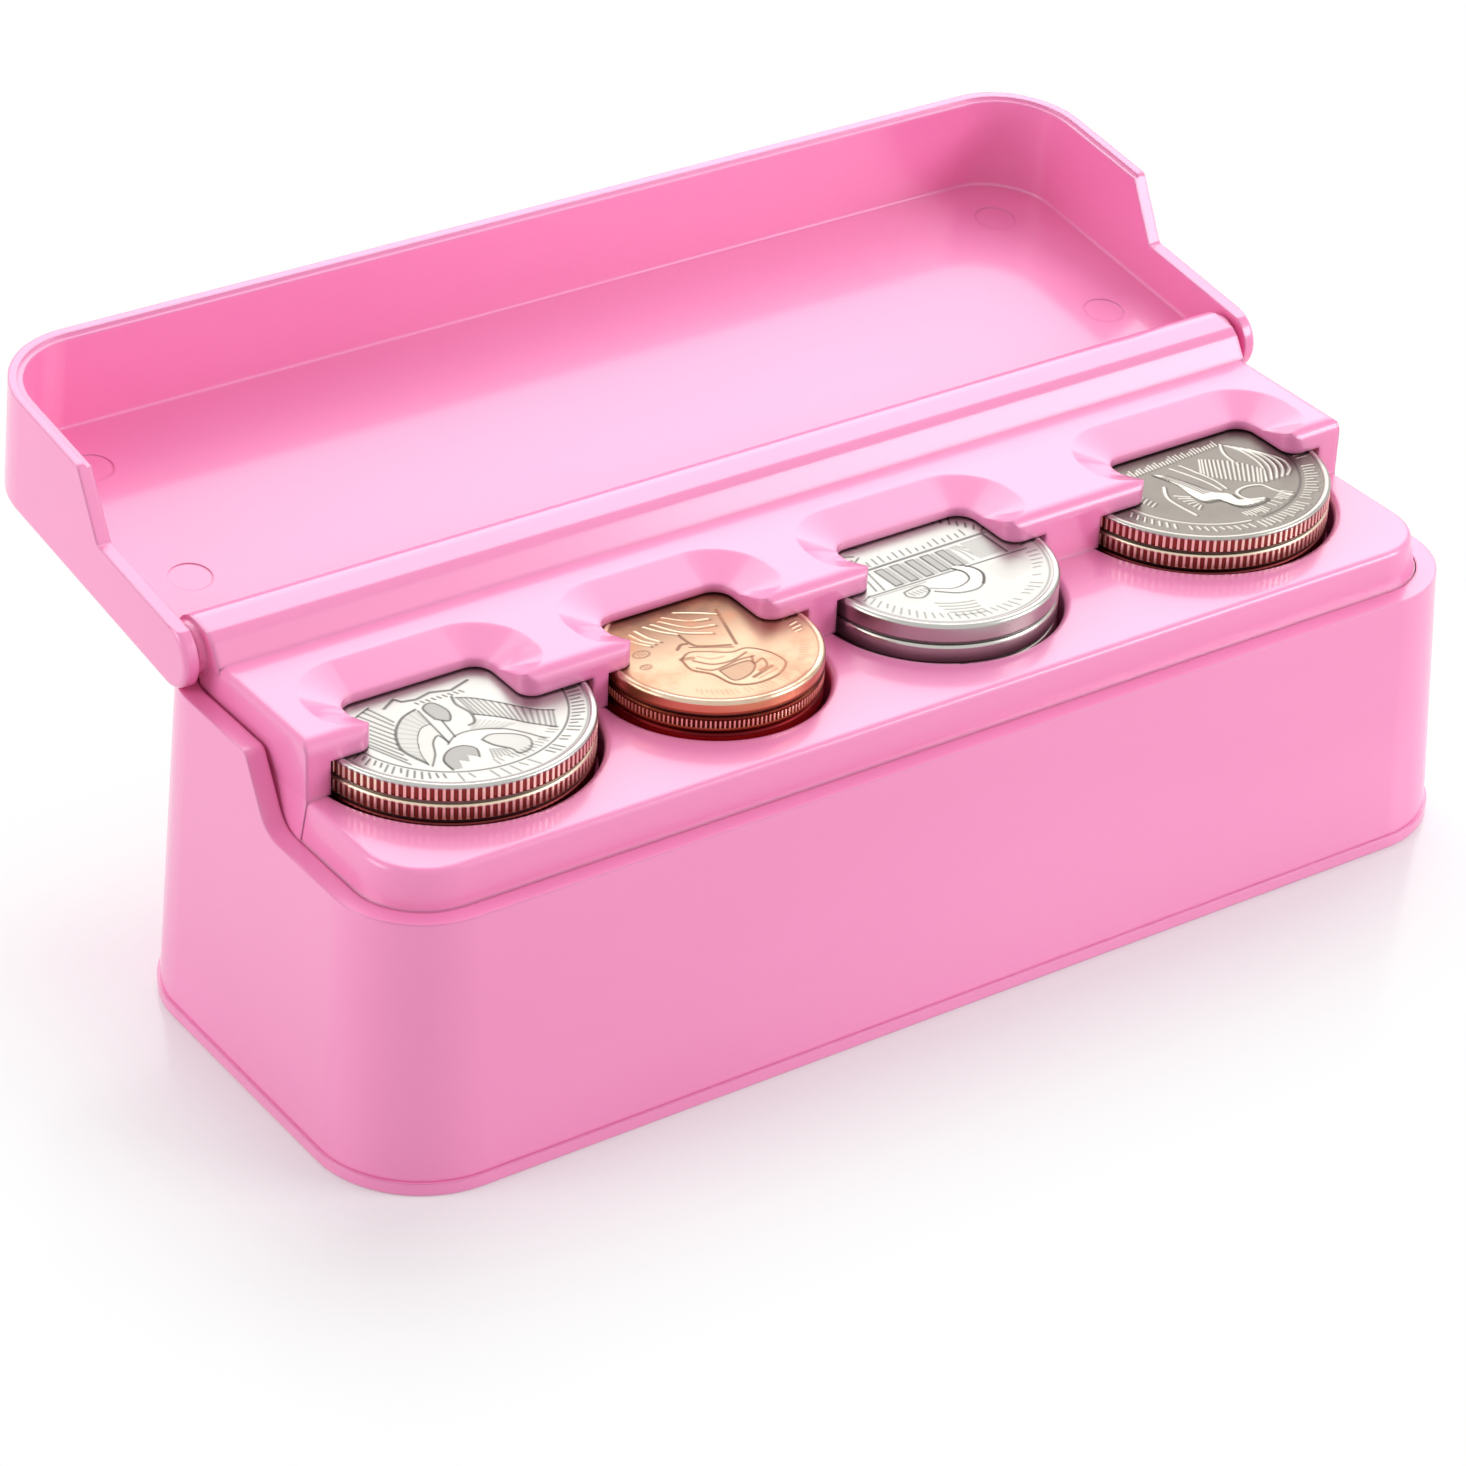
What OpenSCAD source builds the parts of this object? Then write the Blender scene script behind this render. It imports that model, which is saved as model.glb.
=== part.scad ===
// Spring-loaded coin holder: a moulded pocket case with four coin tubes under a
// retaining lip and a hinged lid, which stands open here. Millimetres, Z up.
// The origin is the middle of the foot, the front faces -Y.

/* [Case] */
// Length of the case at its foot
case_length = 116; // [115:0.5:130]
// Depth of the case at its foot
case_depth = 43.6; // [43:0.2:52]
// Radius of the upright corners at the foot
corner_r = 9.8; // [8:0.2:11]
// Lean of the moulded walls in degrees
wall_draft = 3.7; // [2:0.1:4.5]
// Thickness of the case wall at the rim
wall_t = 1.8; // [1.4:0.1:2.2]
// Height of the low front rim
rim_front_z = 25.2; // [24:0.1:26]
// Height of the end walls beside the hinge
rim_back_z = 30.8; // [30.4:0.1:31]
// How far the wall step at the ends leans back per unit of height
step_lean = 0.7; // [0.5:0.02:1]
// Where the wall step starts, from the middle towards the hinge
step_top_y = 2.6; // [1:0.1:3]

/* [Base] */
// Height of the base plate's visible band
band_h = 1.3; // [1:0.1:2]
// How far the band stands out from the case wall
band_out = 0.15; // [0.05:0.05:0.3]
// Height of the locating step inside the case
base_step_h = 1.4; // [1:0.1:2]

/* [Coins] */
// Diameter of the largest coin
quarter_d = 24.26; // [24:0.02:24.6]
// Thickness of the largest coin
quarter_t = 1.75; // [1.6:0.05:1.9]
// Diameter of the smallest coin
penny_d = 19.05; // [18.8:0.05:19.3]
// Thickness of the smallest coin
penny_t = 1.52; // [1.4:0.02:1.6]
// Diameter of the middle coin
nickel_d = 21.21; // [21:0.01:21.5]
// Thickness of the middle coin
nickel_t = 1.95; // [1.8:0.05:2]
// Number of grooves round the edge of the largest coin
reeds = 119; // [80:1:130]

/* [Tray] */
// Height of the deck that the coins slide out over
deck_z = 28.6; // [28:0.1:29]
// Lean of the deck's raised edge in degrees
deck_draft = 10; // [4:0.5:14]
// Rounding of the deck's edge
deck_edge_r = 0.6; // [0.4:0.1:1.2]
// Height of the top of the retaining block
block_top_z = 33.9; // [33.4:0.1:34]
// Rounding of the block's top edges at the ends and the back
block_edge_r = 0.8; // [0.6:0.1:1.1]
// Rounding of the lip's front edge
lip_edge_r = 1.25; // [0.6:0.05:1.4]
// Thickness of the lip over the coins
lip_t = 2.15; // [1.8:0.05:2.4]
// Distance from the front of the deck to the coins
coin_inset = 4.4; // [4:0.1:5]
// Distance from the front of the coins to the front of the lip
lip_inset = 9.8; // [9:0.1:10.5]
// Room round a coin in its tube
bore_gap = 0.6; // [0.4:0.05:0.7]
// Rounding of the tube mouths in the deck
mouth_r = 0.55; // [0.4:0.05:0.7]
// Thickness of the tube walls
tube_t = 1.3; // [1:0.1:1.4]
// Share of the row's spare length that lies at each end
end_share = 0.145; // [0.12:0.005:0.18]
// Share of the spare length between the left large coin and the small coin
penny_share = 0.09; // [0.08:0.005:0.15]
// Share of the spare length between the small coin and the middle coin
nickel_share = 0.206; // [0.15:0.002:0.25]

/* [Thumb notches] */
// Half width of the notch over the left large coin
notch_left_w = 7.1; // [6:0.1:8]
// Half width of the notch over the small coin
notch_penny_w = 6.5; // [5.5:0.1:7]
// Half width of the notch over the middle coin
notch_nickel_w = 7.3; // [6:0.1:8]
// Half width of the notch over the right large coin
notch_right_w = 8.1; // [6:0.1:8.5]
// Depth of a notch behind the front of the lip
notch_depth = 6.8; // [6:0.1:7.5]
// Width of the sloping scoop round a notch
scoop_w = 3.6; // [3:0.1:4]
// Drop of the scoop to the notch's edge
scoop_h = 1.4; // [1:0.1:1.6]

/* [Hinge and lid] */
// Distance of the hinge line from the back of the foot
hinge_inset = 7.2; // [7:0.1:7.6]
// Height of the hinge line
hinge_z = 33.95; // [33.8:0.05:34.2]
// Radius of the lid's ears round the hinge line
ear_r = 3.05; // [2.6:0.05:3.1]
// Radius of the hinge pins
pin_r = 1.2; // [0.9:0.1:1.4]
// Tilt of the lid when it is fully open, in degrees above level
lid_tilt = 7.7; // [6:0.1:9]
// Depth of the lid's front wall below the hinge line when closed
lid_front_drop = 8.3; // [8:0.05:8.5]
// Thickness of the lid's side walls
lid_wall_t = 1.3; // [1:0.1:1.5]
// Thickness of the lid's top
lid_top_t = 1.8; // [1.3:0.05:2]

/* [Followers and springs] */
// Height of a follower
follower_h = 5; // [4:0.5:6]
// Wire diameter of the springs
wire_d = 0.7; // [0.5:0.05:0.9]
// Turns of each spring
turns = 8; // [6:1:8]

/* [Hidden] */
$fn = 96;
cut = 1;                       // overshoot of cutting solids
far = 200;                     // longer than anything here
half_l = case_length / 2;
half_d = case_depth / 2;
lean = tan(wall_draft);

// Fits
seam_gap = 0.1;                // tray to case wall
lid_gap = 0.35;                // closed lid to case rim
ear_gap = 0.4;                 // ear to the end of the hinge rib
pin_gap = 0.06;                // pin in the rib's socket
slide_gap = 0.4;               // follower in its tube
coin_rest_gap = 0.05;          // top coin below the lip

// Tray
tray_inset = wall_t + seam_gap;
tray_l = half_l - tray_inset;
tray_d = half_d - tray_inset;
tray_corner = corner_r - tray_inset;
tray_bottom_z = 21;
tray_wall = 1.6;
deck_front_y = -(tray_d - rim_front_z * lean - (deck_z - rim_front_z) * tan(deck_draft));
coin_front_y = deck_front_y + coin_inset;
block_front_y = coin_front_y + lip_inset;
block_l = tray_l - block_top_z * lean - 0.06;
lip_under_z = block_top_z - lip_t;
coin_top_z = lip_under_z - coin_rest_gap;

// Stations along the tray
quarter_r = quarter_d / 2;
penny_r = penny_d / 2;
nickel_r = nickel_d / 2;
coins_l = 4 * quarter_r + 2 * penny_r + 2 * nickel_r + 8 * bore_gap;
spare_l = 2 * block_l - coins_l;
quarter_left_x = -block_l + end_share * spare_l + bore_gap + quarter_r;
penny_x = quarter_left_x + quarter_r + penny_share * spare_l + 2 * bore_gap + penny_r;
nickel_x = penny_x + penny_r + nickel_share * spare_l + 2 * bore_gap + nickel_r;
quarter_right_x = -quarter_left_x;
notch_left_x = quarter_left_x - 1.2;
notch_penny_x = penny_x - 0.8;
notch_nickel_x = nickel_x;
notch_right_x = quarter_right_x + 1;
notch_back_y = block_front_y + notch_depth;
notch_corner = 1.8;
notch_tip_r = 1.5;
scoop_front_y = block_front_y + 0.6 * notch_depth;

// Base and tube bottoms
floor_z = band_h + base_step_h;
tube_bottom_z = floor_z + 0.4;
spigot_h = 4;
spring_z = floor_z;

// Hinge
hinge_y = half_d - hinge_inset;
rib_r = ear_r - 0.4;
boss_r = rib_r - 0.35;
rib_face = block_l + 0.08;       // end of the rib, just past the block
rib_front_y = hinge_y - 4.2;
ridge_y = rib_front_y + 1.4;
lid_l = half_l - rim_front_z * lean - 0.02;
ear_in = lid_l - lid_wall_t;
rib_l = ear_in - ear_gap;
pin_len = 2;
pin_root = 0.7;

// Lid, measured from the hinge line
lid_setback = 0.3;             // lid's front wall behind the case's
lid_reach = hinge_y + half_d - rim_front_z * lean - lid_setback;
lid_corner = corner_r - rim_front_z * lean;
lid_edge_r = 0.5;
lid_out = ear_r;
lid_floor = lid_out - lid_top_t;
ear_rim = hinge_z - rim_back_z - lid_gap;
lid_back = 5;
lid_back_slant = 1;
lid_rest_gap = 0.05;           // open lid above the back wall
back_rim_z = hinge_z + (lid_back - lid_back_slant) * sin(lid_tilt) - lid_out * cos(lid_tilt) - lid_rest_gap;
lid_run = 30;
step_y = hinge_y - step_top_y;

// Coins
rim_w = 1;
rim_h = 0.14;
edge_cut = 0.16;
reed_depth = 0.14;
relief_h = 0.1;

pink = [0.97, 0.55, 0.76];
silver = [0.80, 0.80, 0.80];
copper = [0.80, 0.47, 0.32];
steel = [0.62, 0.63, 0.65];

// ---- Shared forms -------------------------------------------------------

// Half of a moulded section: a leaning side of height h with a rounded top edge.
module moulded_side(r, h, edge, draft) {
    mid_z = h - edge;
    mid_r = r - mid_z * tan(draft) - edge / cos(draft);
    polygon([
        [0, 0],
        [r, 0],
        [mid_r + edge * cos(draft), mid_z + edge * sin(draft)],
        [mid_r, mid_z],
        [mid_r, h],
        [0, h]
    ]);
    translate([mid_r, mid_z]) circle(edge);
}

// A slab with round corners; its edge all the way round is the section given.
module swept_slab(l, d, corner, h) {
    for (sx = [0, 1]) for (sy = [0, 1])
        mirror([sx, 0, 0]) mirror([0, sy, 0]) translate([l - corner, d - corner, 0])
            rotate_extrude(angle = 90) children();
    for (s = [0, 1]) {
        mirror([0, s, 0]) translate([corner - l, d - corner, 0])
            rotate([90, 0, 90]) linear_extrude(2 * (l - corner)) children();
        mirror([s, 0, 0]) translate([l - corner, d - corner, 0])
            rotate([90, 0, 0]) linear_extrude(2 * (d - corner)) children();
    }
    translate([corner - l, corner - d, 0]) cube([2 * (l - corner), 2 * (d - corner), h]);
}

module moulded_slab(l, d, corner, h, edge, draft) {
    swept_slab(l, d, corner, h) moulded_side(corner, h, edge, draft);
}

module drafted_slab(l, d, corner, h) {
    swept_slab(l, d, corner, h) polygon([[0, 0], [corner, 0], [corner - h * lean, h], [0, h]]);
}

// Cuts a plain right-angled edge along X round; the edge lies at y, z.
module round_edge(y, z, r) {
    difference() {
        translate([-far / 2, y - cut, z - r]) cube([far, r + cut, r + cut]);
        translate([-far / 2, y + r, z - r]) rotate([0, 90, 0]) cylinder(h = far, r = r);
    }
}

// ---- Case ---------------------------------------------------------------

// Side view of the case: low at the front, stepping up to the hinge.
module case_side_view() {
    step_low_y = step_top_y - (rim_back_z - rim_front_z) * step_lean;
    slope = atan2(rim_back_z - rim_front_z, step_top_y - step_low_y);
    low_r = 3.2;
    top_r = 1.2;
    low_t = low_r * tan(slope / 2);
    top_t = top_r * tan(slope / 2);
    difference() {
        union() {
            translate([-far, -cut]) square([far + step_low_y, rim_front_z + cut]);
            polygon([
                [step_low_y - low_t, -cut],
                [step_low_y - low_t, rim_front_z],
                [step_low_y + low_t * cos(slope), rim_front_z + low_t * sin(slope)],
                [step_top_y - top_t * cos(slope), rim_back_z - top_t * sin(slope)],
                [step_top_y + top_t, rim_back_z - top_r],
                [step_top_y + top_t, -cut]
            ]);
            translate([step_top_y + top_t, rim_back_z - top_r]) circle(top_r);
            translate([step_top_y + top_t, -cut]) square([far, rim_back_z + cut]);
        }
        translate([step_low_y - low_t, rim_front_z + low_r]) circle(low_r);
    }
}

module case_shell() {
    color(pink) {
        difference() {
            intersection() {
                drafted_slab(half_l, half_d, corner_r, rim_back_z + cut);
                translate([-far / 2, 0, 0]) rotate([90, 0, 90]) linear_extrude(far) case_side_view();
                translate([-far / 2, -far / 2, band_h]) cube(far);
            }
            drafted_slab(half_l - wall_t, half_d - wall_t, corner_r - wall_t, rim_back_z + 2 * cut);
        }
        tray_ledge();
        lid_stop();
    }
}

// The band inside the wall that the tray stands on.
module tray_ledge() {
    ledge_w = 1.2;
    ledge_h = 3;
    inner = wall_t + ledge_w;
    difference() {
        intersection() {
            drafted_slab(half_l - wall_t + 0.3, half_d - wall_t + 0.3, corner_r - wall_t + 0.3, tray_bottom_z);
            translate([-far / 2, -far / 2, tray_bottom_z - ledge_h]) cube([far, far, ledge_h]);
        }
        drafted_slab(half_l - inner, half_d - inner, corner_r - inner, tray_bottom_z + cut);
    }
}

// The back wall stands higher between the lid's ears and stops the open lid.
module lid_stop() {
    wall_y = half_d - rim_back_z * lean;
    translate([-block_l, wall_y - wall_t, rim_back_z - cut]) cube([2 * block_l, wall_t - 0.1, back_rim_z - rim_back_z + cut]);
}

// ---- Base ---------------------------------------------------------------

module base_plate() {
    step_inset = wall_t + 0.15;
    color(pink) {
        moulded_band();
        drafted_slab(half_l - step_inset, half_d - step_inset, corner_r - step_inset, floor_z);
        spring_spigot(quarter_left_x, quarter_r);
        spring_spigot(penny_x, penny_r);
        spring_spigot(nickel_x, nickel_r);
        spring_spigot(quarter_right_x, quarter_r);
    }
}

// The band that closes the foot, with its lower edge eased.
module moulded_band() {
    translate([0, 0, band_h]) mirror([0, 0, 1])
        moulded_slab(half_l + band_out, half_d + band_out, corner_r + band_out, band_h, 0.3, 0);
}

module spring_spigot(x, r) {
    spigot_r = spring_r(r) - wire_d - 0.4;
    translate([x, station_y(r), floor_z - 0.2]) difference() {
        cylinder(h = spigot_h, r1 = spigot_r, r2 = spigot_r - 0.3);
        translate([0, 0, 0.5]) cylinder(h = spigot_h, r = spigot_r - 1.4);
    }
}

// ---- Coin tray ----------------------------------------------------------

function station_y(r) = coin_front_y + r;
function spring_r(r) = r * 0.62;

module coin_tray() {
    color(pink) difference() {
        union() {
            difference() {
                tray_outside();
                tray_hollow();
            }
            tube_wall(quarter_left_x, quarter_r);
            tube_wall(penny_x, penny_r);
            tube_wall(nickel_x, nickel_r);
            tube_wall(quarter_right_x, quarter_r);
            hinge_rib();
        }
        tube_bore(quarter_left_x, quarter_r);
        tube_bore(penny_x, penny_r);
        tube_bore(nickel_x, nickel_r);
        tube_bore(quarter_right_x, quarter_r);
        thumb_notch(notch_left_x, notch_left_w);
        thumb_notch(notch_penny_x, notch_penny_w);
        thumb_notch(notch_nickel_x, notch_nickel_w);
        thumb_notch(notch_right_x, notch_right_w);
        pin_sockets();
    }
}

// Deck in front and block behind, both rising out of a skirt that fits the case.
module tray_outside() {
    skirt_inset = rim_front_z * lean + 0.1;
    sunk = 0.3;
    difference() {
        intersection() {
            moulded_slab(tray_l, tray_d, tray_corner, block_top_z, block_edge_r, wall_draft);
            translate([-far / 2, -far / 2, tray_bottom_z]) cube(far);
        }
        translate([-far / 2, block_front_y - far, rim_front_z]) cube(far);
        round_edge(block_front_y, block_top_z, lip_edge_r);
        block_side_cut();
    }
    intersection() {
        translate([0, 0, rim_front_z - sunk])
            moulded_slab(tray_l - skirt_inset, tray_d - skirt_inset, tray_corner - skirt_inset,
                deck_z - rim_front_z + sunk, deck_edge_r, deck_draft);
        translate([-far / 2, block_front_y + 1 - far, 0]) cube(far);
    }
}

// The block's ends stand upright, on a slope that carries on from the deck's edge.
module block_side_cut() {
    spread = (deck_z - rim_front_z) * tan(deck_draft);
    for (s = [0, 1]) mirror([s, 0, 0])
        translate([0, far / 2, 0]) rotate([90, 0, 0]) linear_extrude(far)
            polygon([
                [block_l + spread, rim_front_z],
                [block_l, deck_z],
                [block_l, block_top_z + cut],
                [far, block_top_z + cut],
                [far, rim_front_z]
            ]);
}

// The moulding is hollow from below, down from the deck and the block's top.
module tray_hollow() {
    inner_d = tray_d - tray_wall;
    difference() {
        union() {
            translate([0, 0, tray_bottom_z - cut])
                intersection() {
                    drafted_slab(tray_l - tray_bottom_z * lean - tray_wall, inner_d - tray_bottom_z * lean,
                        tray_corner - tray_bottom_z * lean - tray_wall, block_top_z);
                    translate([-far / 2, -far / 2, 0]) cube([far, far, deck_z - tray_wall - tray_bottom_z + cut]);
                }
            translate([tray_wall - block_l, block_front_y + tray_wall, tray_bottom_z])
                cube([2 * (block_l - tray_wall), hinge_y - block_front_y - tray_wall, lip_under_z - tray_bottom_z]);
        }
        tube_outside(quarter_left_x, quarter_r);
        tube_outside(penny_x, penny_r);
        tube_outside(nickel_x, nickel_r);
        tube_outside(quarter_right_x, quarter_r);
    }
}

module tube_outside(x, r) {
    translate([x, station_y(r), tube_bottom_z]) cylinder(h = block_top_z - tube_bottom_z, r = r + bore_gap + tube_t);
}

module tube_wall(x, r) {
    translate([x, station_y(r), tube_bottom_z]) cylinder(h = tray_bottom_z - tube_bottom_z + 5, r = r + bore_gap + tube_t);
}

// Bore of a tube up to the lip, with a rounded mouth in the deck.
module tube_bore(x, r) {
    bore = r + bore_gap;
    translate([x, station_y(r), 0]) {
        cylinder(h = lip_under_z, r = bore);
        translate([0, 0, deck_z]) rotate_extrude() difference() {
            translate([bore - 0.2, -mouth_r]) square([mouth_r + 0.2, mouth_r + 0.01]);
            translate([bore + mouth_r, -mouth_r]) circle(mouth_r);
        }
    }
}

// A notch through the lip, set in a sloping scoop that closes in at the finger tips.
module thumb_notch(x, w) {
    edge_z = block_top_z - scoop_h;
    over = 0.3;
    over_w = scoop_w * over / scoop_h;
    wide = scoop_w + over_w;
    translate([x, 0, 0]) {
        translate([-w, block_front_y - cut, lip_under_z - cut])
            cube([2 * w, notch_depth + cut - notch_corner, lip_t + 2 * cut]);
        translate([notch_corner - w, block_front_y - cut, lip_under_z - cut])
            cube([2 * (w - notch_corner), notch_depth + cut, lip_t + 2 * cut]);
        for (s = [-1, 1]) {
            translate([s * (w - notch_corner), notch_back_y - notch_corner, lip_under_z - cut])
                cylinder(h = lip_t + 2 * cut, r = notch_corner);
            translate([s * (w - notch_corner), notch_back_y - notch_corner, edge_z])
                cylinder(h = scoop_h + over, r1 = notch_corner, r2 = notch_corner + wide);
            translate([s * w, scoop_front_y, edge_z]) cylinder(h = scoop_h + over, r1 = 0, r2 = wide);
            finger_tip(s * w, s);
        }
        translate([0, notch_back_y - notch_corner, edge_z]) rotate([90, 0, 0])
            linear_extrude(notch_back_y - notch_corner - scoop_front_y)
                polygon([[-w, 0], [w, 0], [w + wide, scoop_h + over], [-w - wide, scoop_h + over]]);
        translate([notch_corner - w, 0, edge_z]) rotate([90, 0, 90])
            linear_extrude(2 * (w - notch_corner))
                polygon([
                    [block_front_y, 0],
                    [notch_back_y, 0],
                    [notch_back_y + wide, scoop_h + over],
                    [block_front_y, scoop_h + over]
                ]);
    }
}

// Rounds the upright edge of the finger beside a notch; side is the finger's side.
module finger_tip(x, side) {
    translate([x, block_front_y, lip_under_z - cut]) difference() {
        translate([side > 0 ? -cut : -notch_tip_r, -cut, 0])
            cube([notch_tip_r + cut, notch_tip_r + cut, lip_t + 2 * cut]);
        translate([side * notch_tip_r, notch_tip_r, -cut]) cylinder(h = lip_t + 4 * cut, r = notch_tip_r);
    }
}

// The rib along the back, with a round boss at each end that an ear turns beside.
module hinge_rib() {
    sunk = 0.6;
    ease = 0.5;
    fall = 8;
    back_y = hinge_y - rib_r * sin(fall);
    back_z = hinge_z + rib_r * cos(fall);
    ridge_z = back_z - (back_y - ridge_y) * tan(fall);
    translate([-rib_face, 0, 0]) rotate([90, 0, 90]) linear_extrude(2 * rib_face) {
        translate([hinge_y, hinge_z]) circle(rib_r);
        polygon([
            [rib_front_y, block_top_z - sunk],
            [rib_front_y, block_top_z],
            [ridge_y - ease / 2, ridge_z - ease],
            [ridge_y + ease, ridge_z + ease * tan(fall)],
            [back_y, back_z],
            [hinge_y, block_top_z - sunk]
        ]);
    }
    translate([-rib_l, hinge_y, hinge_z]) rotate([0, 90, 0]) cylinder(h = 2 * rib_l, r = boss_r);
}

module pin_sockets() {
    depth = pin_len - ear_gap + 0.4;
    for (s = [0, 1]) mirror([s, 0, 0])
        translate([rib_l - depth, hinge_y, hinge_z]) rotate([0, 90, 0]) cylinder(h = depth + cut, r = pin_r + pin_gap);
}

// ---- Lid ----------------------------------------------------------------

// Places a part drawn round the hinge line, with the lid running along +Y.
module at_hinge() {
    translate([0, hinge_y, hinge_z]) rotate([lid_tilt, 0, 0]) children();
}

module lid() {
    color(pink) at_hinge() difference() {
        union() {
            intersection() {
                translate([0, lid_reach - lid_run, lid_front_drop]) mirror([0, 0, 1])
                    moulded_slab(lid_l, lid_run, lid_corner, lid_front_drop + lid_out, lid_edge_r, 0);
                translate([-far / 2, 0, 0]) rotate([90, 0, 90]) linear_extrude(far) lid_side_view();
            }
            for (s = [0, 1]) mirror([s, 0, 0]) ear();
        }
        lid_inside();
        lid_back_cut();
        ejector_marks();
        translate([-far / 2, -ear_r - cut, ear_rim]) cube([far, ear_r + cut, ear_r]);
        for (s = [0, 1]) mirror([s, 0, 0])
            translate([ear_in - cut, 0, 0]) rotate([0, 90, 0]) cylinder(h = cut + pin_root, r = pin_r);
    }
}

// The round end of a side wall, with the same eased edge as the lid's outside.
module ear() {
    sunk = 0.5;
    translate([ear_in - sunk, 0, 0]) rotate([0, 90, 0]) rotate_extrude(angle = -180)
        moulded_side(lid_out, lid_wall_t + sunk, lid_edge_r, 0);
}

// End view of the lid: shallow rim beside the hinge, deep front wall.
module lid_side_view() {
    rise = lid_front_drop - ear_rim;
    slope = atan2(1, step_lean);
    low_y = step_y + lid_gap * (1 / sin(slope) - step_lean);
    top_y = low_y + rise * step_lean;
    in_r = 0.5;
    out_r = 0.7;
    in_t = in_r * tan(slope / 2);
    out_t = out_r * tan(slope / 2);
    difference() {
        union() {
            polygon([
                [0, -far / 2],
                [far, -far / 2],
                [far, far / 2],
                [top_y + out_t, far / 2],
                [top_y + out_t, lid_front_drop - out_r],
                [top_y - out_t * cos(slope), lid_front_drop - out_t * sin(slope)],
                [low_y + in_t * cos(slope), ear_rim + in_t * sin(slope)],
                [low_y - in_t, ear_rim],
                [0, ear_rim]
            ]);
            translate([top_y + out_t, lid_front_drop - out_r]) circle(out_r);
        }
        translate([-far / 2, ear_rim]) square([far / 2 + low_y - in_t, far]);
        translate([low_y - in_t, ear_rim + in_r]) circle(in_r);
    }
}

// The tray of the lid, with a shallow rabbet just inside the deep rim.
module lid_inside() {
    rabbet_w = 0.5;
    rabbet_h = 0.25;
    translate([0, lid_reach - lid_wall_t - lid_run, lid_front_drop + cut]) mirror([0, 0, 1])
        moulded_slab(ear_in, lid_run, lid_corner - lid_wall_t, lid_front_drop + lid_floor + cut, 0.25, 0);
    translate([0, lid_reach - lid_wall_t + rabbet_w - lid_run, lid_front_drop + cut]) mirror([0, 0, 1])
        moulded_slab(ear_in + rabbet_w, lid_run, lid_corner - lid_wall_t + rabbet_w, rabbet_h + cut, 0.1, 0);
}

// The top ends on a slant in front of the hinge rib, between the ears.
module lid_back_cut() {
    translate([-ear_in, 0, 0]) rotate([90, 0, 90]) linear_extrude(2 * ear_in)
        polygon([
            [-far / 4, far / 4],
            [-far / 4, -far / 4],
            [lid_back - lid_back_slant, -far / 4],
            [lid_back - lid_back_slant, -lid_out],
            [lid_back, -lid_floor],
            [lid_back, far / 4]
        ]);
}

// Faint round marks left by the mould's pins.
module ejector_marks() {
    mark_r = 1.9;
    mark_depth = 0.08;
    mark_in = 6.4;
    back_mark_y = 9.8;
    front_mark_y = lid_reach - 7.4;
    for (sx = [-1, 1]) for (y = [back_mark_y, front_mark_y])
        translate([sx * (ear_in - mark_in), y, -lid_floor - mark_depth])
            cylinder(h = mark_depth + cut, r = mark_r);
}

module hinge_pin() {
    translate([ear_in - pin_len, 0, 0]) rotate([0, 90, 0]) cylinder(h = pin_len + pin_root, r = pin_r);
}

module hinge_pin_left() {
    color(pink) at_hinge() mirror([1, 0, 0]) hinge_pin();
}

module hinge_pin_right() {
    color(pink) at_hinge() hinge_pin();
}

// ---- Followers and springs ----------------------------------------------

// A cup that carries the coins and sits over its spring.
module follower(x, r, stack) {
    cup_r = r + bore_gap - slide_gap;
    top_t = 1.4;
    color(pink) translate([x, station_y(r), coin_top_z - stack - follower_h]) difference() {
        union() {
            cylinder(h = follower_h - 0.4, r = cup_r);
            translate([0, 0, follower_h - 0.4]) cylinder(h = 0.4, r1 = cup_r, r2 = cup_r - 0.4);
        }
        translate([0, 0, -cut]) cylinder(h = follower_h - top_t + cut, r = cup_r - 1.2);
    }
}

function follower_seat_z(stack) = coin_top_z - stack - 1.4;

// Round wire wound on a helix; the end turns lie flat.
module spring(x, r, stack) {
    around = 12;
    sides = 5;
    wire_r = wire_d / 2;
    h = follower_seat_z(stack) - spring_z - 0.1;
    steps = turns * around;
    coil_r = spring_r(r);
    end_pitch = 1.06 * wire_d;
    mid_pitch = (h - wire_d - 2 * end_pitch) / (turns - 2);
    function height(t) = wire_r + (t < 1 ? end_pitch * t
        : t > turns - 1 ? h - wire_d - end_pitch * (turns - t)
        : end_pitch + mid_pitch * (t - 1));
    points = [
        for (i = [0:steps]) for (k = [0:sides - 1])
            let (a = 360 * i / around, b = 360 * k / sides, rr = coil_r + wire_r * cos(b))
                [rr * cos(a), rr * sin(a), height(i / around) + wire_r * sin(b)]
    ];
    skin = [
        for (i = [0:steps - 1]) for (k = [0:sides - 1])
            let (p = i * sides + k, q = i * sides + (k + 1) % sides)
                each [[p, q, q + sides], [p, q + sides, p + sides]]
    ];
    ends = [[for (k = [0:sides - 1]) sides - 1 - k], [for (k = [0:sides - 1]) steps * sides + k]];
    color(steel) translate([x, station_y(r), spring_z + 0.05]) polyhedron(points, concat(skin, ends));
}

// ---- Coins --------------------------------------------------------------

// Blank of a coin: raised rims on both faces and eased edges.
module coin_blank(r, t) {
    rotate_extrude() polygon([
        [0, rim_h],
        [r - rim_w, rim_h],
        [r - rim_w + rim_h, 0],
        [r - edge_cut, 0],
        [r, edge_cut],
        [r, t - edge_cut],
        [r - edge_cut, t],
        [r - rim_w + rim_h, t],
        [r - rim_w, t - rim_h],
        [0, t - rim_h]
    ]);
}

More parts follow.
